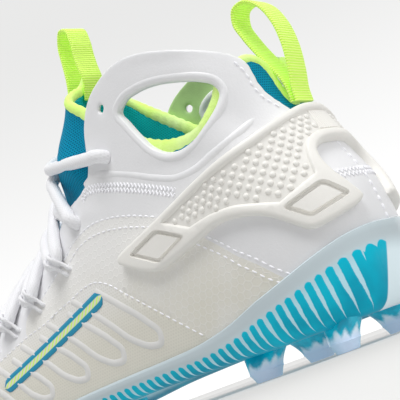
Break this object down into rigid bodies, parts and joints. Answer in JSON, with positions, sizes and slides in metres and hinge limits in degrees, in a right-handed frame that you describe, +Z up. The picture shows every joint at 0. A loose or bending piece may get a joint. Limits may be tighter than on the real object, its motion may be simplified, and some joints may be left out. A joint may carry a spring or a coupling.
{
  "type": "lacrosse cleat",
  "caption": "Left mid-cut lacrosse cleat: hollow white upper with ankle cut-outs, knitted sleeve with pull loops, moulded heel strap, laces and a clear studded plate.",
  "frame": {"origin": "on the floor under the studs, at the middle of the shoe's length and width", "axes": "+X to the toe, +Y to the outer side of the left foot, +Z up"},
  "size_m": [0.2927, 0.0965, 0.1732],
  "materials": {
    "upper_skin": "smooth white synthetic skin with a clear film over the quarter",
    "sleeve_knit": "blue spacer knit with a yellow-green bound edge",
    "strap_rubber": "satin off-white moulding with a dotted field",
    "insole_foam": "cloth-topped foam",
    "plate_clear": "clear moulding over teal ribs",
    "stud_tip_clear": "pale clear moulding",
    "volt_webbing": "ribbed webbing",
    "lace_cord": "round braided cord",
    "loop_cord": "smooth thin cord"
  },
  "bodies": {
    "root": {"upper": "upper_skin", "inner_sleeve": "sleeve_knit", "heel_strap": "strap_rubber", "insole": "insole_foam", "sole_plate": "plate_clear", "heel_pull_loop": "volt_webbing", "tongue_pull_loop": "volt_webbing", "stud_tip_heel_lateral": "stud_tip_clear", "stud_tip_heel_medial": "stud_tip_clear", "stud_tip_waist_lateral": "stud_tip_clear", "stud_tip_waist_medial": "stud_tip_clear", "stud_tip_ball_lateral_rear": "stud_tip_clear", "stud_tip_ball_lateral": "stud_tip_clear", "stud_tip_ball_lateral_front": "stud_tip_clear", "stud_tip_ball_medial_rear": "stud_tip_clear", "stud_tip_ball_medial": "stud_tip_clear", "stud_tip_ball_medial_front": "stud_tip_clear", "stud_tip_toe_lateral": "stud_tip_clear", "stud_tip_toe_medial": "stud_tip_clear", "lace_crossing_1": "lace_cord", "lace_crossing_2": "lace_cord", "lace_crossing_3": "lace_cord", "lace_crossing_4": "lace_cord", "lace_crossing_5": "lace_cord", "lace_crossing_6": "lace_cord", "lace_loop_lateral_1": "loop_cord", "lace_loop_lateral_2": "loop_cord", "lace_loop_lateral_3": "loop_cord", "lace_loop_lateral_4": "loop_cord", "lace_loop_lateral_5": "loop_cord", "lace_loop_medial_1": "loop_cord", "lace_loop_medial_2": "loop_cord", "lace_loop_medial_3": "loop_cord", "lace_loop_medial_4": "loop_cord", "lace_loop_medial_5": "loop_cord"}
  },
  "joints": []
}
